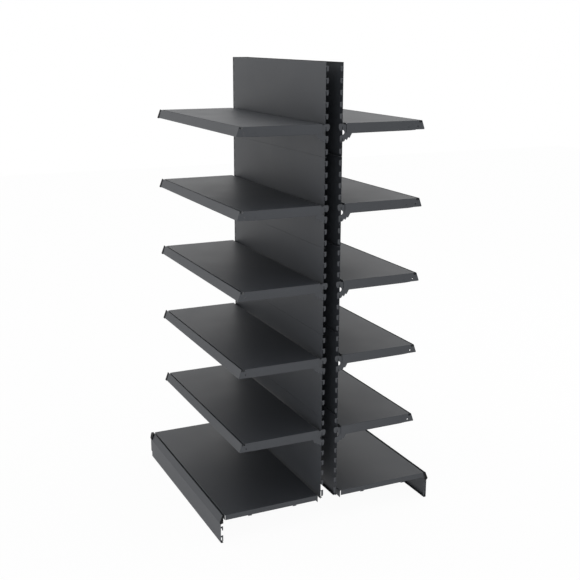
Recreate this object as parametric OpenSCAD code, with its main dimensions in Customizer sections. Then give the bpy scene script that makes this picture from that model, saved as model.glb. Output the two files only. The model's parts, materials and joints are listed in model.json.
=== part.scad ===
// Double-sided gondola shelving, one add-on bay, in millimetres.
// X runs along the aisle, Y is the depth, Z is up and the floor is z = 0.
// The open end, where the next upright would stand, is at +X.

/* [Bay] */
// Distance between upright centres
bay_pitch = 1045; // [900:5:1250]
// Height step of the slots
slot_pitch = 50; // [49:0.5:51]
// Lower edge of the lowest slot above the floor
first_slot = 150; // [149:1:165]
// Half the thickness over the two panel faces
core_half = 42; // [40:1:46]
// Clearance between a hooked part and what it hooks on
fit_gap = 0.3; // [0.2:0.05:0.35]
// Sheet of the shelves, decks and kick plates
sheet = 1; // [0.8:0.1:1.1]
// Radius of the folds in that sheet
fold_r = 2; // [1.6:0.1:2.6]

/* [Upright] */
// Width of the upright along the run
upright_w = 30; // [30:1:36]
// Wall of the upright tube
upright_wall = 2; // [1.6:0.1:2.2]
// Width of a slot
slot_w = 5.4; // [5.3:0.1:5.8]
// Height of a slot
slot_h = 31; // [31:0.5:34]
// Slot column from the upright's centre line
slot_off = 7.3; // [7.2:0.05:7.4]
// Lower end of the tube above the floor
tube_bottom = 20; // [18:1:23]
// Plate of the cap and of the foot insert
cap_t = 2; // [1.5:0.5:3]
// Length of the cap's plug
cap_plug = 14; // [8:1:16]
// Half the depth of the cap's plug, between the panel tabs
cap_half = 20; // [12:1:22]
// Length of the foot insert inside the tube
insert_l = 23; // [18:1:26]

/* [Panels] */
// Panel sheet
panel_t = 0.8; // [0.7:0.05:0.85]
// Joint between two panels
panel_gap = 0.6; // [0.4:0.1:1.5]
// Depth of the panel's folded edges
panel_flange = 12; // [8:1:14]
// First tab below the panel's top
tab_top = 15.5; // [15:0.5:16.5]
// Height of a tab
tab_h = 22.5; // [21:0.5:23.5]
// Depth of a tab behind the upright's wall
tab_w = 10; // [8:0.5:11]
// Gap between the lowest panels and the legs
panel_clear = 1.2; // [1:0.1:1.8]

/* [Shelves] */
// Top of a shelf above the slot it hooks in
shelf_over_slot = 15; // [14.5:0.1:15.5]
// Front edge of the flat deck, from the panel face
deck_front = 391; // [300:1:440]
// Gap between the panel face and the rear edge of a shelf or deck
rear_gap = 17; // [16:1:20]
// How far a shelf or deck stops short of the bay's end
tray_gap = 2.2; // [1.8:0.1:2.6]
// Width of the groove behind the front lip
groove_w = 6.5; // [6:0.5:8]
// Depth of that groove
groove_d = 8; // [6:0.5:9]
// Width of the ridge between groove and lip
ridge_w = 2; // [1.8:0.2:3]
// Height of the front lip and the side flanges
lip_h = 40; // [38:0.5:42]
// How far the lip slopes out
lip_run = 14.5; // [10:0.5:18]
// Depth of the lip's bottom hem
lip_return = 5; // [4.6:0.2:8]
// Height of the rear flange
rear_flange = 22; // [18:1:24]
// Front edge of the hat stiffener behind the deck's front edge
rib_at = 182; // [120:1:200]
// Depth of the hat stiffener
rib_h = 14; // [8:1:16]
// Width of its crown
rib_crown = 28; // [20:1:40]
// Fixing hole behind the deck's front edge
fix_back = 12; // [11:0.5:14]
// Fixing hole under the shelf top
fix_drop = 26; // [24:0.5:29]
// Radius of the fixing hole
fix_r = 3.2; // [2.5:0.1:4]

/* [Brackets] */
// Bracket plate
bracket_t = 2.5; // [2:0.1:2.6]
// Lower edge of the bracket under the shelf top
bracket_h = 44.5; // [43.5:0.5:47]
// Lowest point of the gusset under the shelf top
gusset_h = 79.5; // [79:0.5:82]
// Front end of the bracket behind the deck's front edge
bracket_back = 22; // [20:1:30]
// Start of the bracket's straight arm, from the panel face
arm_start = 45; // [42:1:60]
// Reach of the upper hook behind the upright's wall
top_hook = 16.5; // [14:0.5:17]
// Reach of the lower hook
low_hook = 10.5; // [8:0.5:12]
// Drop of the hooks below the slot's edge
hook_drop = 16.3; // [14:0.1:16.5]
// Radius of the notch between the two hooks
notch_r = 10.2; // [9:0.2:11]
// Radius of the locating peg
peg_r = 3; // [2.5:0.1:3.2]
// Locating peg behind the deck's front edge
peg_back = 60; // [40:1:90]
// Locating peg under the shelf top
peg_drop = 28.5; // [20:0.5:30]

/* [Base] */
// Top of the base deck
base_top = 136; // [135:1:139]
// Height of the base deck's flanges
base_flange = 24.6; // [22:0.1:24.6]
// Front edge of the base deck, from the panel face
base_front = 486; // [440:1:520]
// Height of the base deck's rear flange
deck_rear = 35; // [32:1:37]
// Notch between the rear flange and each side flange
corner_notch = 5; // [4:0.5:6]
// Places of the deck's tongues, from the panel face
tongues = [138, 363]; // [80:1:400]
// Length of a tongue
tongue_l = 18; // [14:1:24]
// Height of a tongue
tongue_h = 4; // [3:0.5:6]
// Gap between the base deck and the kick plate's lip
kick_gap = 8; // [6:0.5:9]
// Depth of that lip behind the kick plate's face
lip_depth = 12; // [11.5:0.5:14]
// Overhang of the kick plate's lip
kick_lip = 5.6; // [4:0.2:7]
// Top of the kick plate's lip
kick_top = 136.5; // [135.5:0.5:138]
// Height of the kick plate's lip
kick_lip_h = 41.5; // [38:0.5:44]
// Bottom return of the kick plate
kick_return = 12; // [10:0.5:14]
// Tops of the kick plate's hooks
kick_hooks = [35, 80]; // [32:1:84]
// Heights of the hooks
kick_hook_h = [29, 20]; // [18:1:30]
// Height of their arms
kick_arm = 9; // [8:1:12]
// Rim of the kick plate's end plugs
plug_rim = 2.7; // [2:0.1:3]

/* [Legs] */
// Leg plate
leg_t = 2; // [1.6:0.1:2.4]
// Underside of the leg above the floor
leg_bottom = 25; // [24:1:27]
// Height of the arch under the leg
leg_arch = 26; // [10:1:30]
// Radius of the bolt shanks
bolt_r = 4; // [3:0.5:4]
// Lower and upper bolt above the leg's underside
bolt_rows = [37, 70]; // [34:1:72]

/* [Feet] */
// Foot stem radius
stem_r = 5; // [4:0.5:5]
// Foot stem length
stem_l = 58; // [52:1:60]
// Foot pad radius
pad_r = 15; // [12:0.5:15]
// Foot pad height
pad_h = 6; // [5:0.5:7]

/* [Hidden] */
panel_rows = 5;
panel_slots = 8;
shelf_rows = 5;
shelf_slots = 7;
slot_count = panel_rows * panel_slots;
// Overlap that joins the folded plates of one piece
weld = 0.4;
// Steps of a bracket's gusset: out from the panel face, up from its lowest point
gusset_steps = [[2, 0], [8, 3], [13, 11.5], [20.5, 6.5], [26.5, 18], [33.5, 15.5]];
// Slack on each side of a plug in its tube
slack = 0.15;

// Run stations, from the middle of the bay; the whole row is centred on the origin
half = bay_pitch / 2;
total_l = upright_w / 2 + bay_pitch - tray_gap;
x_up = -total_l / 2 + upright_w / 2;
x_bay = x_up + half;
slot_edge = half - slot_off - slot_w / 2;
panel_end = slot_edge + 0.6 + panel_t;
bracket_x = panel_end + 0.9;
between = bracket_x - 1.5;
tray_end = half - tray_gap;
clear_end = half - upright_w / 2 - 1;
kick_end = tray_end - plug_rim - 0.3;

// Depth stations, from the centre plane
up_face = core_half - panel_t - fit_gap;
bearing = up_face + fit_gap;
hook_in = up_face - upright_wall - fit_gap - 0.1;
rear_edge = core_half + rear_gap;
fold_y = core_half + deck_front;
ridge_y = fold_y + groove_w;
base_y = core_half + base_front;
kick_in = base_y + kick_gap;
kick_y = kick_in + lip_depth;
nose_y = kick_y - sheet - 0.8;
foot_y = base_y - 29;

// Heights
panel_h = panel_slots * slot_pitch;
top_slot = first_slot + (slot_count - 1) * slot_pitch;
total_h = top_slot + 21;
tab_arm = total_h - top_slot - fit_gap;
arm_bottom = shelf_over_slot - fit_gap;
leg_top = base_top - base_flange - fit_gap;
kick_step = kick_top - kick_lip_h;
leg_step = kick_step - 2;
panel_foot = leg_top + panel_clear;
seat_z = base_top - deck_rear - 1;
bolt_z = [for (z = bolt_rows) leg_bottom + z];

// Small parts
stem_bore = stem_r + 0.08;
bolt_hole = bolt_r + 0.3;
nut_r = bolt_r * 1.87;
hex_r = stem_r * 1.8;

// Outlines are lists of [y, z] or [y, z, bend radius]; a bend becomes a short run of chords
function unit(v) = v / norm(v);
function left(p, q) = let (d = unit(q - p)) [-d[1], d[0]];
function point(p) = [p[0], p[1]];
function bend(a, b, c, r) =
  let (d1 = unit(b - a), d2 = unit(c - b), turn = acos(d1 * d2))
  let (s = d1[0] * d2[1] - d1[1] * d2[0] > 0 ? 1 : -1)
  let (start = b - r * tan(turn / 2) * d1, mid = start + s * r * [-d1[1], d1[0]])
  let (a0 = atan2(start[1] - mid[1], start[0] - mid[0]), n = ceil(turn / 24))
  [for (i = [0:n]) mid + r * [cos(a0 + s * turn * i / n), sin(a0 + s * turn * i / n)]];
function bent(P) = [for (i = [0:len(P) - 1])
  each (len(P[i]) == 2 ? [P[i]] : bend(point(P[i - 1]), point(P[i]), point(P[i + 1]), P[i][2]))];

// A folded sheet: its outer line, and the same line moved t to the left
function moved(P, i, t) =
  i == 0 ? P[0] + t * left(P[0], P[1]) :
  i == len(P) - 1 ? P[i] + t * left(P[i - 1], P[i]) :
  let (a = left(P[i - 1], P[i]), b = left(P[i], P[i + 1])) P[i] + t * (a + b) / (1 + a * b);
function folded(path, t) = let (P = bent(path)) concat(P, [for (i = [len(P) - 1:-1:0]) moved(P, i, t)]);

// Outline in (depth, height), drawn out along the run from x0
module along_x(x0, length) {
  translate([x0, 0, 0]) rotate([90, 0, 90]) linear_extrude(length) children();
}

// Outline in (run, height), drawn out over the depth from y0 to y1
module along_y(y0, y1) {
  translate([0, y1, 0]) rotate([90, 0, 0]) linear_extrude(y1 - y0) children();
}

// Each piece is drawn on the rear side and at the near end, and mirrored to its place
module rear_side() {
  translate([x_bay, 0, 0]) children();
}
module front_side() {
  mirror([0, 1, 0]) rear_side() children();
}
module far_end() {
  mirror([1, 0, 0]) children();
}
module both_ends() {
  children();
  far_end() children();
}

// One slotted wide face of the upright
module slotted_face() {
  difference() {
    translate([-upright_w / 2, tube_bottom]) square([upright_w, total_h - cap_t - tube_bottom]);
    for (s = [-1, 1], i = [0:slot_count - 1]) {
      translate([s * slot_off - slot_w / 2, first_slot + i * slot_pitch]) square([slot_w, slot_h]);
    }
    for (z = bolt_z) {
      translate([0, z]) circle(r = bolt_hole, $fn = 32);
    }
  }
}

// Rectangular tube with two columns of slots in each wide face
module upright() {
  color([0.27, 0.27, 0.28])
  translate([x_up, 0, 0]) {
    along_y(up_face - upright_wall, up_face) slotted_face();
    along_y(-up_face, upright_wall - up_face) slotted_face();
    for (x = [-upright_w / 2, upright_w / 2 - upright_wall]) {
      translate([x, weld - up_face, tube_bottom])
      cube([upright_wall, 2 * (up_face - weld), total_h - cap_t - tube_bottom]);
    }
  }
}

// Plastic cap; its plug keeps clear of the panel tabs
module upright_cap() {
  plug_w = upright_w - 2 * (upright_wall + slack);
  color([0.09, 0.09, 0.09])
  translate([x_up, 0, total_h - cap_t]) {
    translate([-upright_w / 2, -up_face, 0]) cube([upright_w, 2 * up_face, cap_t]);
    translate([-plug_w / 2, -cap_half, -cap_plug]) cube([plug_w, 2 * cap_half, cap_plug + cap_t / 2]);
  }
}

// Foot insert that closes the lower end of the tube and takes the foot's stem
module upright_insert() {
  plug_w = upright_w - 2 * (upright_wall + slack);
  plug_d = 2 * (up_face - upright_wall - slack);
  color([0.09, 0.09, 0.09])
  translate([x_up, 0, tube_bottom])
  difference() {
    union() {
      translate([-upright_w / 2, -up_face, -cap_t]) cube([upright_w, 2 * up_face, cap_t]);
      translate([-plug_w / 2, -plug_d / 2, -cap_t / 2]) cube([plug_w, plug_d, insert_l + cap_t / 2]);
    }
    translate([0, 0, -2 * cap_t]) cylinder(r = stem_bore, h = insert_l + 3 * cap_t, $fn = 48);
  }
}

// Outline of one panel tab, j slots below the panel's top, from its arm's underside up
function tab(j, h) =
  let (back = hook_in - 0.5, top = -tab_top - j * slot_pitch, arm = -tab_arm - j * slot_pitch)
  [[bearing, arm], [back, arm], [back, top - h], [back - tab_w + 3, top - h],
   [back - tab_w, top - h + 6], [back - tab_w, top], [bearing, top]];

// Pressed steel panel with L-shaped tabs down both ends; the lowest one reaches down to the legs
module panel(i) {
  joint = panel_gap / 2;
  reach = i == panel_rows ? total_h - panel_rows * panel_h + joint - panel_foot : 0;
  foot = joint - panel_h - reach;
  edge = concat(
    [[core_half, -joint], [core_half, foot], [bearing, foot]],
    tab(panel_slots - 1, tab_h + reach),
    [for (j = [panel_slots - 2:-1:0]) each tab(j, tab_h)],
    [[bearing, -joint]]);
  color([0.3, 0.3, 0.31])
  translate([0, 0, total_h - (i - 1) * panel_h]) {
    translate([weld - panel_end, bearing, foot])
    cube([2 * (panel_end - weld), panel_t, -joint - foot]);
    both_ends() along_x(panel_end - panel_t, panel_t) polygon(edge);
    for (z = [-joint - panel_t, foot]) {
      translate([-clear_end, core_half - panel_flange, z])
      cube([2 * clear_end, panel_flange - weld, panel_t]);
    }
  }
}

// Hat stiffener under a deck, its front foot ending at y
function hat(y) =
  let (foot = 12, web = 6, top = weld - sheet)
  [[y, top], [y - foot, top], [y - foot - web, top - rib_h], [y - foot - web - rib_crown, top - rib_h],
   [y - foot - 2 * web - rib_crown, top], [y - 2 * foot - 2 * web - rib_crown, top]];

// Outer lines of a tray's side fold and rear fold, with flanges h high
function side_fold(h) = [[tray_end, -h], [tray_end, 0, fold_r], [tray_end - 8, 0]];
function rear_fold(h) = [[rear_edge, -h], [rear_edge, 0, fold_r], [rear_edge + 5, 0]];

// Top of shelf i, counted from the top one down
function shelf_z(i) = top_slot - (5 + (i - 1) * shelf_slots) * slot_pitch + shelf_over_slot;

// Outer line of the lip at a depth below the shelf top
function lip_y(d) = ridge_y + ridge_w + lip_run * d / lip_h;

// Flat top of a tray, from the rear fold to y1; the folds along its edges overlap it
module tray_top(y1) {
  inner = tray_end - 5;
  translate([-inner, rear_edge + 4, -sheet]) cube([2 * inner, y1 - rear_edge - 4, sheet]);
}

// Shelf tray: deck, groove, sloping lip, flanges and a hat stiffener in one
module tray(i) {
  wall = 0.7;
  relief = groove_d + 1.5;
  low_y = lip_y(lip_h);
  lip = [[ridge_y, 0], [lip_y(0), 0], [low_y, -lip_h, 1.5 * fold_r], [low_y - lip_return, -lip_h]];
  groove = [[fold_y - 4, 0], [fold_y, 0], [fold_y + wall, -groove_d], [ridge_y - wall, -groove_d]];
  side_front = fold_y - 7;
  color([0.31, 0.31, 0.32])
  translate([0, 0, shelf_z(i)])
  difference() {
    union() {
      tray_top(fold_y - 3);
      along_x(-between, 2 * between) polygon(folded(rear_fold(rear_flange), -sheet));
      along_x(3 - tray_end, 2 * tray_end - 6) polygon(folded(concat(groove, lip), -sheet));
      both_ends() {
        along_y(rear_edge, side_front) polygon(folded(side_fold(lip_h), sheet));
        along_x(tray_end - 4, 4) polygon(folded(lip, -sheet));
        along_x(tray_end - sheet, sheet) polygon([
          [side_front - 1, -lip_h], [side_front - 1, -relief], [lip_y(relief) - sheet / 2, -relief],
          [lip_y(lip_h - 4) - sheet / 2, 4 - lip_h], [low_y - lip_return, -lip_h]]);
      }
      along_x(4 - slot_edge, 2 * slot_edge - 8) polygon(folded(hat(fold_y - rib_at + 12), sheet));
    }
    both_ends() for (p = [[peg_back, peg_drop, peg_r + 0.5], [fix_back, fix_drop, fix_r]]) {
      translate([tray_end - 2 * sheet, fold_y - p[0], -p[1]]) rotate([0, 90, 0])
      cylinder(r = p[2], h = 4 * sheet, $fn = 32);
    }
  }
}

// Outline of the bracket under the shelf top: arm, two hooks and the stepped gusset
function bracket_outline() =
  let (top = -sheet - 0.2, front = fold_y - bracket_back, neck = -6)
  let (arm = -arm_bottom, tip = -arm_bottom - hook_drop)
  let (nose = hook_in - top_hook, low_nose = hook_in - low_hook, slope = 5)
  concat(
    [[front, top - 3], [front - 3, top], [rear_edge + 2, top], [rear_edge - 2, neck],
     [bearing + 7, neck], [bearing + 3, -2]],
    [[nose, -2, 7], [nose, arm - 5], [nose + slope + 1, tip], [hook_in - slope + 1, tip],
     [hook_in, tip + slope], [hook_in, arm], [bearing, arm]],
    [for (p = [[bearing, -2], [low_nose, -2, 4], [low_nose, arm - 3], [low_nose + slope - 1, tip],
      [hook_in - slope + 2, tip], [hook_in, tip + slope], [hook_in, arm], [bearing, arm]])
      len(p) == 2 ? [p[0], p[1] - slot_pitch] : [p[0], p[1] - slot_pitch, p[2]]],
    [[bearing, -gusset_h]],
    [for (p = gusset_steps) [core_half + p[0], p[1] - gusset_h]],
    [[core_half + arm_start, -bracket_h], [front - 28, 1.5 - bracket_h], [front, 3 - bracket_h]]);

// Bracket plate with the notch between its hooks, and the peg that locates the tray
module bracket(i) {
  color([0.29, 0.29, 0.3])
  translate([0, 0, shelf_z(i)]) {
    along_x(bracket_x, bracket_t) difference() {
      polygon(bent(bracket_outline()));
      translate([bearing - 1, 10.5 - slot_pitch]) circle(r = notch_r, $fn = 48);
    }
    translate([bracket_x + bracket_t - weld, fold_y - peg_back, -peg_drop]) rotate([0, 90, 0])
    cylinder(r = peg_r, h = tray_end - bracket_x - bracket_t + weld, $fn = 32);
  }
}

// Base deck: a flat tray with a deep rear flange and tongues under each side flange
module deck() {
  front_fold = [[base_y, -base_flange], [base_y, 0, fold_r], [base_y - 8, 0]];
  rear_l = tray_end - 0.5;
  color([0.31, 0.31, 0.32])
  translate([0, 0, base_top]) {
    tray_top(base_y - 5);
    along_x(-rear_l, 2 * rear_l) polygon(folded(rear_fold(deck_rear), -sheet));
    along_x(2 - tray_end, 2 * tray_end - 4) polygon(folded(front_fold, sheet));
    both_ends() {
      along_y(rear_edge + corner_notch, base_y - fold_r - 0.2)
      polygon(folded(side_fold(base_flange), sheet));
      for (t = tongues) {
        translate([tray_end - sheet, core_half + t - tongue_l / 2, -base_flange - tongue_h])
        cube([sheet, tongue_l, tongue_h + sheet]);
      }
    }
    along_x(4 - slot_edge, 2 * slot_edge - 8) polygon(folded(hat(base_y - rib_at), sheet));
  }
}

// Outer line of the kick plate's lip, from the step in its face round to the inner skin
lip_line = bent([
  [kick_y, kick_step], [kick_y + kick_lip, kick_step + 6.5, 1.5], [kick_in + 3.5, kick_top, 2],
  [kick_in, kick_top - 1], [kick_in, kick_step + 3]]);

// Kick plate with its hollow lip and two hooks at each end
module kick_plate() {
  face = [[kick_y - kick_return, 0], [kick_y, 0, fold_r]];
  root = kick_y - sheet / 2;
  back = kick_in - 1;
  arm = kick_in + 4.5;
  color([0.33, 0.33, 0.34]) {
    along_x(-kick_end, 2 * kick_end) polygon(folded(concat(face, lip_line), sheet));
    both_ends() for (i = [0, 1]) {
      top = kick_hooks[i];
      foot = top - kick_hook_h[i];
      along_x(panel_end - sheet, sheet) polygon([
        [root, top], [back, top], [back, foot], [arm, foot], [arm, top - kick_arm], [root, top - kick_arm]]);
    }
  }
}

// Black end plugs of the hollow lip: a body inside the lip and a rim over its end
module kick_plugs() {
  body = [for (i = [0:len(lip_line) - 1]) moved(lip_line, i, sheet + 0.35)];
  color([0.07, 0.07, 0.07])
  both_ends() {
    along_x(kick_end - 14, 15) polygon(body);
    along_x(kick_end + 0.3, plug_rim) polygon(lip_line);
  }
}

// Base leg: a folded channel, open below, bolted to the upright
module leg() {
  w = upright_w / 2;
  step_y = base_y - 3;
  seat = [rear_edge - 1, rear_edge + sheet + 1];
  cheek = [
    [bearing, leg_top - weld], [seat[0], leg_top - weld], [seat[0], seat_z], [seat[1], seat_z],
    [seat[1], leg_top - weld], [step_y + weld, leg_top - weld], [step_y + weld, leg_step - weld],
    [nose_y - weld, leg_step - weld], [nose_y - weld, leg_bottom], [foot_y - 34, leg_bottom],
    [foot_y - 60, leg_bottom + leg_arch, 20], [bearing + 78, leg_bottom + leg_arch, 20],
    [bearing + 52, leg_bottom], [bearing, leg_bottom]
  ];
  color([0.27, 0.27, 0.28])
  translate([-half, 0, 0]) {
    for (x = [-w, w - leg_t]) {
      along_x(x, leg_t) polygon(bent(cheek));
    }
    leg_web(w, step_y, seat);
    leg_nose(w, step_y);
    leg_heel(w);
    foot_nut(w);
  }
}

// Top web, cut for the decks' rear flanges and for the tongues; two neighbouring decks share each cut
module leg_web(w, step_y, seat) {
  slot_half = tray_gap + sheet + 1;
  translate([0, 0, leg_top - leg_t]) linear_extrude(leg_t) difference() {
    translate([-w, bearing]) square([2 * w, step_y + leg_t - bearing]);
    translate([-w - 1, seat[0]]) square([2 * w + 2, seat[1] - seat[0]]);
    for (t = tongues) {
      translate([-slot_half, core_half + t - tongue_l / 2 - 3]) square([2 * slot_half, tongue_l + 6]);
    }
  }
}

// Front step and nose plate, slotted for the hooks of two neighbouring kick plates
module leg_nose(w, step_y) {
  hook_x = half - panel_end + sheet / 2;
  translate([-w, step_y, leg_step - leg_t]) cube([2 * w, leg_t, leg_top - leg_step + leg_t]);
  translate([-w, step_y, leg_step - leg_t]) cube([2 * w, nose_y - step_y, leg_t]);
  along_y(nose_y - leg_t, nose_y) difference() {
    translate([-w, leg_bottom]) square([2 * w, leg_step - leg_bottom]);
    for (s = [-1, 1], i = [0, 1]) {
      translate([s * hook_x - 2.2, kick_hooks[i] - kick_hook_h[i] - 1.5]) square([4.4, kick_hook_h[i] + 3]);
    }
  }
}

// Rear flange with its two bolt holes
module leg_heel(w) {
  along_y(bearing, bearing + leg_t) difference() {
    translate([-w, leg_bottom]) square([2 * w, leg_top - leg_bottom]);
    for (z = bolt_z) {
      translate([0, z]) circle(r = bolt_hole, $fn = 32);
    }
  }
}

// Foot plate and its welded nut
module foot_nut(w) {
  inner = w - leg_t + weld;
  difference() {
    union() {
      translate([-inner, foot_y - 18, leg_bottom]) cube([2 * inner, 36, leg_t + 1]);
      translate([0, foot_y, leg_bottom + leg_t]) cylinder(r = hex_r + 0.8, h = 10, $fn = 6);
    }
    translate([0, foot_y, leg_bottom - 1]) cylinder(r = stem_bore, h = 16, $fn = 48);
  }
}

// The bolts of one leg, heads on the leg's side of the joint
module bolt_pair() {
  translate([-half, bearing + leg_t, 0]) for (z = bolt_z) {
    translate([0, 0.1, z]) rotate([-90, 0, 0]) cylinder(r = nut_r, h = 1.3 * bolt_r, $fn = 6);
    translate([0, 1, z]) rotate([90, 0, 0]) cylinder(r = bolt_r, h = 17, $fn = 32);
  }
}

// The nuts of one leg, inside the tube
module nut_pair() {
  translate([-half, up_face - upright_wall - 0.1, 0]) for (z = bolt_z) {
    translate([0, 0, z]) rotate([90, 0, 0]) difference() {
      cylinder(r = nut_r, h = 1.6 * bolt_r, $fn = 6);
      translate([0, 0, -1]) cylinder(r = bolt_r + 0.05, h = 2 * bolt_r + 2, $fn = 32);
    }
  }
}

module leg_bolts() {
  color([0.55, 0.56, 0.57]) {
    rear_side() bolt_pair();
    front_side() bolt_pair();
  }
}

module leg_nuts() {
  color([0.55, 0.56, 0.57]) {
    rear_side() nut_pair();
    front_side() nut_pair();
  }
}

// Levelling foot's threaded stem, with the hexagon that turns it
module foot_stem(y) {
  color([0.55, 0.56, 0.57])
  translate([x_up, y, 0]) {
    translate([0, 0, 2]) cylinder(r = stem_r, h = stem_l, $fn = 48);
    translate([0, 0, pad_h + 0.2]) cylinder(r = hex_r, h = 4.8, $fn = 6);
  }
}

// Foot pad with the socket that holds the stem
module foot_pad(y) {
  color([0.09, 0.09, 0.09])
  translate([x_up, y, 0])
  difference() {
    union() {
      cylinder(r = pad_r, h = pad_h - 2, $fn = 48);
      cylinder(r = pad_r - 3, h = pad_h, $fn = 48);
    }
    translate([0, 0, 1.8]) cylinder(r = stem_r + 0.1, h = pad_h, $fn = 48);
  }
}

upright();
upright_cap();
upright_insert();
front_side() leg();  // front_leg
rear_side() leg();  // rear_leg
leg_bolts();
leg_nuts();
for (i = [1:panel_rows]) {
  front_side() panel(i);
  rear_side() panel(i);
}
for (i = [1:shelf_rows]) {
  front_side() tray(i);
  rear_side() tray(i);
  front_side() bracket(i);
  front_side() far_end() bracket(i);
  rear_side() bracket(i);
  rear_side() far_end() bracket(i);
}
front_side() deck();  // front_deck
rear_side() deck();  // rear_deck
front_side() kick_plate();  // front_kick_plate
rear_side() kick_plate();  // rear_kick_plate
front_side() kick_plugs();  // front_kick_plugs
rear_side() kick_plugs();  // rear_kick_plugs
foot_stem(-foot_y);  // front_foot_stem
foot_stem(foot_y);  // rear_foot_stem
foot_stem(0);  // upright_foot_stem
foot_pad(-foot_y);  // front_foot_pad
foot_pad(foot_y);  // rear_foot_pad
foot_pad(0);  // upright_foot_pad
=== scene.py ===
import json
from math import pi, radians

import bpy
import numpy as np
from mathutils import Matrix, Vector


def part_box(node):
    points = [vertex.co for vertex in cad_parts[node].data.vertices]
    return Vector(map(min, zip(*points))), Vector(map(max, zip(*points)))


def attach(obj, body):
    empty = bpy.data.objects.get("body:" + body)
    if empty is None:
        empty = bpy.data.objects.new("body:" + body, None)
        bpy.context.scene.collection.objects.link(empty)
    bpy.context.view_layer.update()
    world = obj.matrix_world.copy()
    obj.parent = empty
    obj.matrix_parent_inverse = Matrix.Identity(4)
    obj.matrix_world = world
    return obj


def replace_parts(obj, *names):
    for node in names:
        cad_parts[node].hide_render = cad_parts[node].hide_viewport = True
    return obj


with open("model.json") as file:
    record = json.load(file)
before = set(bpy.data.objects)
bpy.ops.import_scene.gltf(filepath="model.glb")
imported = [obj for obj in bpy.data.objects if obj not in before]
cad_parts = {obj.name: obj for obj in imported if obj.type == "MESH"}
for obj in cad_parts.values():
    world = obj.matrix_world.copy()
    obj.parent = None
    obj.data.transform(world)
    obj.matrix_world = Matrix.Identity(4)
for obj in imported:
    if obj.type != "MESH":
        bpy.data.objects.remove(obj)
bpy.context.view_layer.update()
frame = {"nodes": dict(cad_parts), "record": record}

# The camera
# It stands off the open end and the front side, a little above the top of the
# shelving, and looks slightly down, as the photograph does.
eye = (4.2235, -1.9500, 2.2252)
turn, dip, roll = radians(64.760), radians(14.728), radians(0.236)
focal_px, photo_px, sensor_mm = 965.3, 580, 36.0
lens = bpy.data.cameras.new("camera")
lens.sensor_width = sensor_mm
lens.lens = focal_px * sensor_mm / photo_px
camera = bpy.data.objects.new("camera", lens)
camera.matrix_world = (
    Matrix.Translation(eye)
    @ Matrix.Rotation(turn, 4, "Z")
    @ Matrix.Rotation(pi / 2 - dip, 4, "X")
    @ Matrix.Rotation(roll, 4, "Z")
)
bpy.context.scene.collection.objects.link(camera)
bpy.context.scene.camera = camera


# The studio
# The shelving stands on an opal light table in a white room, which lights it
# from all sides and from below, with soft lamps in front, behind and low down.
def linear(code):
    """Turns an sRGB hex colour such as "#44464a" into the linear values a shader takes."""
    srgb = np.array([int(code[i : i + 2], 16) for i in (1, 3, 5)]) / 255
    low, high = srgb / 12.92, ((srgb + 0.055) / 1.055) ** 2.4
    return (*np.where(srgb <= 0.04045, low, high), 1.0)


def add(tree, kind, settings=(), links=()):
    """Adds one shader node with its settings, by property or socket name, and its links (socket, source)."""
    node = tree.nodes.new(kind)
    for name, value in dict(settings).items():
        if hasattr(node, name):
            setattr(node, name, value)
        else:
            node.inputs[name].default_value = value
    for name, source in links:
        tree.links.new(source, node.inputs[name])
    return node


def empty_tree(owner):
    """The owner's node tree, switched on and cleared."""
    owner.use_nodes = True
    owner.node_tree.nodes.clear()
    return owner.node_tree


bpy.context.scene.view_settings.view_transform = "Standard"
world = bpy.data.worlds.new("studio")
bpy.context.scene.world = world
room_lit, room_seen = 0.445, 1.0
tree = empty_tree(world)
path = add(tree, "ShaderNodeLightPath")
seen = add(tree, "ShaderNodeMath", {"operation": "MAXIMUM"},
           [(0, path.outputs["Is Camera Ray"]), (1, path.outputs["Is Glossy Ray"])])
level = add(tree, "ShaderNodeMapRange", {"To Min": room_lit, "To Max": room_seen},
            [("Value", seen.outputs[0])])
sky = add(tree, "ShaderNodeBackground", {"Color": linear("#ffffff")}, [("Strength", level.outputs[0])])
add(tree, "ShaderNodeOutputWorld", links=[("Surface", sky.outputs[0])])

table_mesh = bpy.data.meshes.new("light table")
table_half = 12.0
corners = table_half * np.array([(-1, -1, 0), (1, -1, 0), (1, 1, 0), (-1, 1, 0)])
table_mesh.from_pydata(corners.tolist(), [], [(0, 1, 2, 3)])
table = bpy.data.objects.new("light table", table_mesh)
bpy.context.scene.collection.objects.link(table)
opal = bpy.data.materials.new("opal acrylic")
glow_level, white_share = 0.45, 0.92
tree = empty_tree(opal)
path = add(tree, "ShaderNodeLightPath")
matte = add(tree, "ShaderNodeBsdfDiffuse", {"Color": linear("#f6f6f6")})
glow = add(tree, "ShaderNodeEmission", {"Color": linear("#ffffff"), "Strength": glow_level})
lit = add(tree, "ShaderNodeAddShader", links=[(0, matte.outputs[0]), (1, glow.outputs[0])])
white = add(tree, "ShaderNodeEmission", {"Color": linear("#ffffff"), "Strength": 1.0})
share = add(tree, "ShaderNodeMath", {"operation": "MULTIPLY"}, [(0, path.outputs["Is Camera Ray"])])
share.inputs[1].default_value = white_share
mix = add(tree, "ShaderNodeMixShader",
          links=[(0, share.outputs[0]), (1, lit.outputs[0]), (2, white.outputs[0])])
add(tree, "ShaderNodeOutputMaterial", links=[("Surface", mix.outputs[0])])
table_mesh.materials.append(opal)

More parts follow.
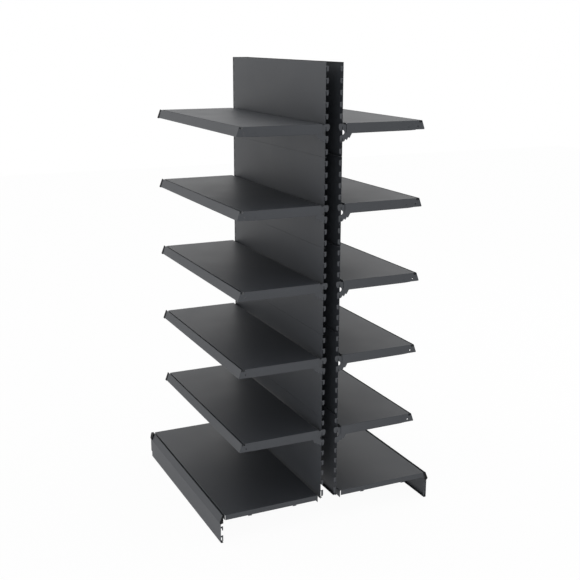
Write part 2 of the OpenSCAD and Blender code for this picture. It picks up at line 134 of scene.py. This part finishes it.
aim = Vector((0, 0, 1.1))
for name, place, width, height, power in [
    ("front softbox", (1.0, -5.0, 2.2), 3.0, 3.0, 11),
    ("rear softbox", (0.5, 5.0, 2.6), 3.0, 3.0, 32),
    ("low fill", (4.0, -3.0, 0.35), 3.0, 0.6, 26),
]:
    lamp = bpy.data.lights.new(name, "AREA")
    lamp.shape, lamp.size, lamp.size_y, lamp.energy = "RECTANGLE", width, height, power
    box = bpy.data.objects.new(name, lamp)
    box.location = place
    box.rotation_euler = (aim - Vector(place)).to_track_quat("-Z", "Y").to_euler()
    bpy.context.scene.collection.objects.link(box)


# Steel sheet
# Panels, shelves, decks, kick plates, brackets, legs and upright are mild steel,
# sprayed with anthracite polyester powder and baked: a dark, half-glossy skin
# with a fine orange peel and a film that is a little cloudy.
def per_mm(size):
    """The scale of a noise whose patches are about that many millimetres across."""
    return 1000 / size


thin_film, thick_film = "#373a3f", "#3d4045"
cloud_mm, speck_mm, peel_mm = 140, 0.7, 2
speck_share, peel_depth = 0.35, 0.0005


def powder_coat(name, roughness):
    """Powder coat: cloudy patches and specks tint it from thin to thick film, over a fine orange peel."""
    coat = bpy.data.materials.new(name)
    tree = empty_tree(coat)
    place = add(tree, "ShaderNodeTexCoord").outputs["Object"]
    cloud = add(tree, "ShaderNodeTexNoise", {"Scale": per_mm(cloud_mm), "Detail": 3.0}, [("Vector", place)])
    speck = add(tree, "ShaderNodeTexNoise", {"Scale": per_mm(speck_mm), "Detail": 1.0}, [("Vector", place)])
    film = add(tree, "ShaderNodeMath", {"operation": "MULTIPLY_ADD"},
               [(0, speck.outputs["Fac"]), (2, cloud.outputs["Fac"])])
    film.inputs[1].default_value = speck_share
    tint = add(tree, "ShaderNodeValToRGB", links=[("Fac", film.outputs[0])])
    for stop, position, code in zip(tint.color_ramp.elements, (0.35, 1.0), (thin_film, thick_film)):
        stop.position, stop.color = position, linear(code)
    gloss = add(tree, "ShaderNodeMapRange", {"To Min": roughness - 0.05, "To Max": roughness + 0.05},
                [("Value", cloud.outputs["Fac"])])
    peel = add(tree, "ShaderNodeTexNoise", {"Scale": per_mm(peel_mm), "Detail": 2.0}, [("Vector", place)])
    relief = add(tree, "ShaderNodeBump", {"Strength": 0.08, "Distance": peel_depth},
                 [("Height", peel.outputs["Fac"])])
    skin = add(tree, "ShaderNodeBsdfPrincipled", {"IOR": 1.5},
               [("Base Color", tint.outputs[0]), ("Roughness", gloss.outputs[0]),
                ("Normal", relief.outputs[0])])
    add(tree, "ShaderNodeOutputMaterial", links=[("Surface", skin.outputs[0])])
    return coat


nodes = frame["nodes"]


def dress(names, finish):
    """Gives the finish to every material slot of the named CAD nodes."""
    for name in names:
        for slot in nodes[name].material_slots:
            slot.material = finish


panels = [name for name in nodes if "_panel_" in name]
sheets = [name for name in nodes if name.endswith(("_deck", "_kick_plate")) or "_tray_" in name]
carriers = [name for name in nodes if "_bracket_" in name or name.endswith("_leg")] + ["upright"]
for names, coat_name, roughness in [
    (panels, "panel powder coat", 0.5),
    (sheets, "shelf powder coat", 0.48),
    (carriers, "bracket powder coat", 0.48),
]:
    dress(names, powder_coat(coat_name, roughness))


# Black plastic
# The end plugs and caps of the lips, the upright's cap, its foot insert and the
# pads are moulded polypropylene, dyed black, with a fine spark-eroded grain.
grain_mm, flow_mm = 0.3, 12


def moulded_plastic(name, colour):
    """Moulded polypropylene: one dull colour through the mass, with a fine grain in relief."""
    plastic = bpy.data.materials.new(name)
    tree = empty_tree(plastic)
    place = add(tree, "ShaderNodeTexCoord").outputs["Object"]
    grain = add(tree, "ShaderNodeTexNoise", {"Scale": per_mm(grain_mm), "Detail": 2.0}, [("Vector", place)])
    flow = add(tree, "ShaderNodeTexNoise", {"Scale": per_mm(flow_mm), "Detail": 2.0}, [("Vector", place)])
    gloss = add(tree, "ShaderNodeMapRange", {"To Min": 0.45, "To Max": 0.6},
                [("Value", flow.outputs["Fac"])])
    relief = add(tree, "ShaderNodeBump", {"Strength": 0.25, "Distance": 0.0002},
                 [("Height", grain.outputs["Fac"])])
    skin = add(tree, "ShaderNodeBsdfPrincipled",
               {"Base Color": linear(colour), "IOR": 1.49, "Specular IOR Level": 0.15},
               [("Roughness", gloss.outputs[0]), ("Normal", relief.outputs[0])])
    add(tree, "ShaderNodeOutputMaterial", links=[("Surface", skin.outputs[0])])
    return plastic


black_plastic = moulded_plastic("black polypropylene", "#161617")
dress(["front_kick_plugs", "rear_kick_plugs", "upright_insert"], black_plastic)


# The end caps of the lips
# At the run's far end a black moulding is pushed onto every shelf lip, with a
# collar over the lip's face, and a longer block closes each kick plate's lip.
def tube(rings):
    """Skins a closed tube: rings is an array (ring, point, xyz), each ring joins the next, both ends flat."""
    count, around = rings.shape[:2]
    ring, point = np.meshgrid(np.arange(count - 1), np.arange(around), indexing="ij")
    start, beside = ring * around + point, ring * around + (point + 1) % around
    quads = np.stack([start, beside, beside + around, start + around], -1).reshape(-1, 4)
    last = np.arange(around) + (count - 1) * around
    return rings.reshape(-1, 3), [*quads.tolist(), np.arange(around)[::-1].tolist(), last.tolist()]


def rider(name, body, skins, finish):
    """Makes one piece of several skins that rides a body."""
    starts = np.cumsum([0] + [len(points) for points, _ in skins[:-1]])
    faces = [[i + start for i in face] for (_, group), start in zip(skins, starts) for face in group]
    mesh = bpy.data.meshes.new(name)
    mesh.from_pydata(np.concatenate([points for points, _ in skins]).tolist(), [], faces)
    mesh.shade_smooth()
    mesh.set_sharp_from_angle(angle=radians(35))
    mesh.materials.append(finish)
    shape = bpy.data.objects.new(name, mesh)
    bpy.context.scene.collection.objects.link(shape)
    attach(shape, body)
    return shape


def bar(outline, sign, edge, top, stations):
    """A straight piece along X: the outline, in mm outward from an edge and up from a height, at each x."""
    flat = np.array(outline) * [sign / 1000, 1 / 1000] + [edge, top]
    if sign < 0:
        flat = flat[::-1]
    return tube(np.array([[(x, *point) for point in flat] for x in stations]))


cap_l, collar_l, block_out, block_in = 0.008, 0.006, 0.004, 0.024
clear = 0.0001
# A shelf cap's outlines start at the tray's front edge and top, the kick plate
# block's at the plate's back and the floor.
lip_front = [(-12.32, 1), (2.88, -38.6), (1.08, -41.3), (-5.72, -41.3)]
cap_outline = [(-15.22, -12), (-15.22, 0.8), *lip_front, (-11.72, -30)]
collar_outline = [(-13.02, 0.15), *lip_front, (-5.72, -40.1), (0.48, -40.1), (1.68, -38.3)]
block_outline = [(0.6, 98), (0.6, 137.5), (13, 137.5), (19.6, 108), (15, 98)]
for side, sign in (("front", -1), ("rear", 1)):
    for i in range(1, 6):
        low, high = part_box(f"{side}_tray_{i}")
        edge = max(low.y, high.y, key=abs)
        cap = bar(cap_outline, sign, edge, high.z, [low.x - cap_l, low.x - clear])
        collar = bar(collar_outline, sign, edge, high.z, [low.x - clear, low.x + collar_l])
        rider(f"{side}_lip_cap_{i}", f"{side}_shelf_{i}", [cap, collar], black_plastic)
    low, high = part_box(f"{side}_kick_plate")
    back = min(low.y, high.y, key=abs)
    block = bar(block_outline, sign, back, 0, [low.x - block_out, low.x + block_in])
    rider(f"{side}_kick_block", f"{side}_kick", [block], black_plastic)


# The cap
# A moulded plastic cap is pushed into the top of the upright: a thin plate with
# softened edges over a plug that grips inside the tube.
bodies = frame["record"]["behaviour"]["bodies"]
home = {node: body for body, names in bodies.items() for node in names}


def piece(node, skins, finish):
    """Makes one piece that rides where the CAD node rides and is shown in its place."""
    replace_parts(rider(node + "_shape", home[node], skins, finish), node)


def rounded_rectangle(half_x, half_y, radius, z, steps=6):
    """One ring: a quarter circle of that radius in each corner, joined by straight sides, at height z."""
    angle = np.linspace(0, pi / 2, steps)
    arc = radius * np.stack([np.cos(angle), np.sin(angle)], -1)
    corner = np.array([half_x - radius, half_y - radius])
    quarters = [(1, 1), (-1, 1), (-1, -1), (1, -1)]
    turned = [np.array([[c, -s], [s, c]]) for c, s in [(1, 0), (0, 1), (-1, 0), (0, -1)]]
    flat = np.concatenate([arc @ t.T + corner * q for t, q in zip(turned, quarters)])
    return np.column_stack([flat, np.full(len(flat), z)])


low, high = (np.array(corner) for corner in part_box("upright_cap"))
middle, half = (low + high) / 2, (high - low) / 2
plate, edge, wall, corner_r = 0.002, 0.0008, 0.0021, 0.0015
plug_y = 0.020
plug_half = np.array([half[0] - wall, plug_y])
bow = np.linspace(0, pi / 2, 5)
profile = [(plug_half[0] - edge, plug_half[1] - edge, low[2]), (plug_half[0], plug_half[1], low[2] + edge),
           (plug_half[0], plug_half[1], high[2] - plate), (half[0], half[1], high[2] - plate)]
inset, drop = edge * (1 - np.cos(bow)), edge * (1 - np.sin(bow))
profile += [(half[0] - i, half[1] - i, high[2] - d) for i, d in zip(inset, drop)]
rings = np.array([rounded_rectangle(x, y, corner_r, z) for x, y, z in profile]) + [middle[0], middle[1], 0]
piece("upright_cap", [tube(rings)], black_plastic)


# Zinc plating
# Bolts, nuts and the levelling stems are turned or cold-headed steel with a
# bright zinc plating and rolled threads.
bluish, yellowish = "#a9b0b8", "#bdbbb0"
patch_mm, scratch_mm = 8, 0.5


def zinc_plating(name):
    """Zinc plating: bright grey metal, bluish and yellowish in patches, with fine scratches."""
    zinc = bpy.data.materials.new(name)
    tree = empty_tree(zinc)
    place = add(tree, "ShaderNodeTexCoord").outputs["Object"]
    patch = add(tree, "ShaderNodeTexNoise", {"Scale": per_mm(patch_mm), "Detail": 3.0}, [("Vector", place)])
    tint = add(tree, "ShaderNodeValToRGB", links=[("Fac", patch.outputs["Fac"])])
    for stop, position, code in zip(tint.color_ramp.elements, (0.35, 0.65), (bluish, yellowish)):
        stop.position, stop.color = position, linear(code)
    gloss = add(tree, "ShaderNodeMapRange", {"To Min": 0.25, "To Max": 0.42},
                [("Value", patch.outputs["Fac"])])
    scratch = add(tree, "ShaderNodeTexNoise", {"Scale": per_mm(scratch_mm), "Detail": 2.0},
                  [("Vector", place)])
    relief = add(tree, "ShaderNodeBump", {"Strength": 0.15, "Distance": 0.0001},
                 [("Height", scratch.outputs["Fac"])])
    skin = add(tree, "ShaderNodeBsdfPrincipled", {"Metallic": 1.0},
               [("Base Color", tint.outputs[0]), ("Roughness", gloss.outputs[0]),
                ("Normal", relief.outputs[0])])
    add(tree, "ShaderNodeOutputMaterial", links=[("Surface", skin.outputs[0])])
    return zinc


zinc = zinc_plating("zinc plated steel")


# Leg bolts and nuts
# Two bolts on each side clamp a base leg's rear flange to the upright's slotted
# face, with the nuts inside the tube.
def ring_tube(rings):
    """Skins a tube whose last ring joins the first, such as a nut's section carried round its bore."""
    count, around = rings.shape[:2]
    ring, point = np.meshgrid(np.arange(count), np.arange(around), indexing="ij")
    on, beside = (ring + 1) % count, (point + 1) % around
    quads = [ring * around + point, ring * around + beside, on * around + beside, on * around + point]
    return rings.reshape(-1, 3), np.stack(quads, -1).reshape(-1, 4).tolist()


def thread(radius, length, pitch, around=24, per_turn=6):
    """A threaded rod along +Z: a V that is 0.61 of the pitch deep climbs one pitch a turn.

    Over one pitch at each end it fades into a plain end, 0.3 of the pitch under the full radius.
    """
    z = np.linspace(0, length, max(int(length / pitch * per_turn), 2))[:, None]
    angle = np.linspace(0, 2 * pi, around, endpoint=False)[None, :]
    phase = (z / pitch - angle / (2 * pi)) % 1
    ends = np.clip(np.minimum(z, length - z) / pitch, 0, 1)
    r = radius - 0.61 * pitch * np.abs(2 * phase - 1) * ends - 0.3 * pitch * (1 - ends)
    return np.stack([r * np.cos(angle), r * np.sin(angle), z + 0 * angle], -1)


def hexagon(radius, height, around=48):
    """A hexagon along +Z with its corners turned off at 30 degrees.

    Each ring is the lesser of the hexagon and a cone that starts 0.97 of the flats wide.
    """
    apothem = radius * np.cos(pi / 6)
    angle = np.linspace(0, 2 * pi, around, endpoint=False)[None, :]
    flats = apothem / np.cos((angle + pi / 6) % (pi / 3) - pi / 6)
    z = np.array([0, 0.35, 0.6]) * (radius - apothem)
    z = np.concatenate([z, height - z[::-1]])[:, None]
    cone = 0.97 * apothem + np.minimum(z, height - z) / np.tan(pi / 6)
    r = np.minimum(flats, cone)
    return np.stack([r * np.cos(angle), r * np.sin(angle), z + 0 * angle], -1)


def nut(radius, height, bore, around=48):
    """A nut: the hexagon's skin outside and its bore inside, as one ring of sections."""
    outside = hexagon(radius, height, around)
    angle = np.linspace(0, 2 * pi, around, endpoint=False)
    rim = np.stack([bore * np.cos(angle), bore * np.sin(angle), 0 * angle], -1)
    inside = np.array([rim + [0, 0, height], rim])
    return np.concatenate([outside, inside])


def placed(grid, at, along=(0, 0, 1)):
    """The same grid with its +Z turned to point along an axis, moved to a place."""
    turned = np.array(Vector((0, 0, 1)).rotation_difference(Vector(along)).to_matrix())
    return grid @ turned.T + np.array(at)


shank_r, shank_l, shank_pitch = 0.004, 0.017, 0.00125
head_r, head_h, nut_h = 1.87 * shank_r, 1.3 * shank_r, 1.6 * shank_r
bolt_low, bolt_high = (np.array(corner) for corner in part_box("leg_bolts"))
nut_high = np.array(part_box("leg_nuts")[1])
upright_x = (bolt_low[0] + bolt_high[0]) / 2
side_r = head_r * np.cos(pi / 6)
rows = [bolt_low[2] + side_r, bolt_high[2] - side_r]
bolts, nuts = [], []
for side in (-1, 1):
    for z in rows:
        seat = (upright_x, side * (bolt_high[1] - head_h), z)
        head = placed(hexagon(head_r, head_h), seat, (0, side, 0))
        shank = placed(thread(shank_r, shank_l, shank_pitch), seat, (0, -side, 0))
        bolts += [tube(head), tube(shank)]
        at = (upright_x, side * nut_high[1], z)
        nuts.append(ring_tube(placed(nut(head_r, nut_h, shank_r), at, (0, -side, 0))))
piece("leg_bolts", bolts, zinc)
piece("leg_nuts", nuts, zinc)


# Levelling feet
# A threaded stem with a hexagon to turn it stands in the socket of a round
# plastic pad; one under each leg's nose and one under the upright.
def round_off(corners, radius, steps=4):
    """A profile with an arc of that radius in each corner between its ends, tangent to both sides."""
    line = [np.array(corners[0])]
    for before, here, after in zip(corners, corners[1:], corners[2:]):
        here = np.array(here)
        back, on = (v / np.linalg.norm(v) for v in (np.array(before) - here, np.array(after) - here))
        opening = np.arccos(np.clip(back @ on, -1, 1))
        reach = radius / np.tan(opening / 2)
        mid = here + (back + on) / np.linalg.norm(back + on) * radius / np.sin(opening / 2)
        first, final = here + back * reach - mid, here + on * reach - mid
        share = np.linspace(0, 1, steps + 1)[:, None]
        sweep = pi - opening
        arc = (np.sin((1 - share) * sweep) * first + np.sin(share * sweep) * final) / np.sin(sweep)
        line.extend(mid + arc)
    line.append(np.array(corners[-1]))
    return np.array(line)


def lathe(profile, around=48):
    """A surface of revolution about Z: profile is (radius, height) rows, one ring each."""
    angle = np.linspace(0, 2 * pi, around, endpoint=False)[None, :]
    r, z = profile[:, :1], profile[:, 1:]
    return np.stack([r * np.cos(angle), r * np.sin(angle), z + 0 * angle], -1)


stem_r, stem_pitch, socket_r, socket_z, skirt_h = 0.005, 0.0015, 0.0051, 0.0018, 0.004
hex_z, hex_h, hex_r = 0.0062, 0.0048, 0.009
sole_r, rim_w, pad_edge = 0.011, 0.003, 0.0006
for foot in ("front", "rear", "upright"):
    low, high = (np.array(corner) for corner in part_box(foot + "_foot_stem"))
    at = np.array([(low[0] + high[0]) / 2, (low[1] + high[1]) / 2, 0])
    stem = placed(thread(stem_r, high[2] - low[2], stem_pitch), at + [0, 0, low[2]])
    turner = placed(nut(hex_r, hex_h, stem_r), at + [0, 0, hex_z])
    piece(foot + "_foot_stem", [tube(stem), ring_tube(turner)], zinc)
    low, high = (np.array(corner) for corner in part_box(foot + "_foot_pad"))
    pad_r, pad_h = (high[0] - low[0]) / 2, high[2]
    outline = round_off(
        [(sole_r, 0), (pad_r, 0), (pad_r, skirt_h), (pad_r - rim_w, skirt_h), (pad_r - rim_w, pad_h),
         (socket_r, pad_h), (socket_r, socket_z)], pad_edge)
    piece(foot + "_foot_pad", [tube(placed(lathe(outline), at))], black_plastic)
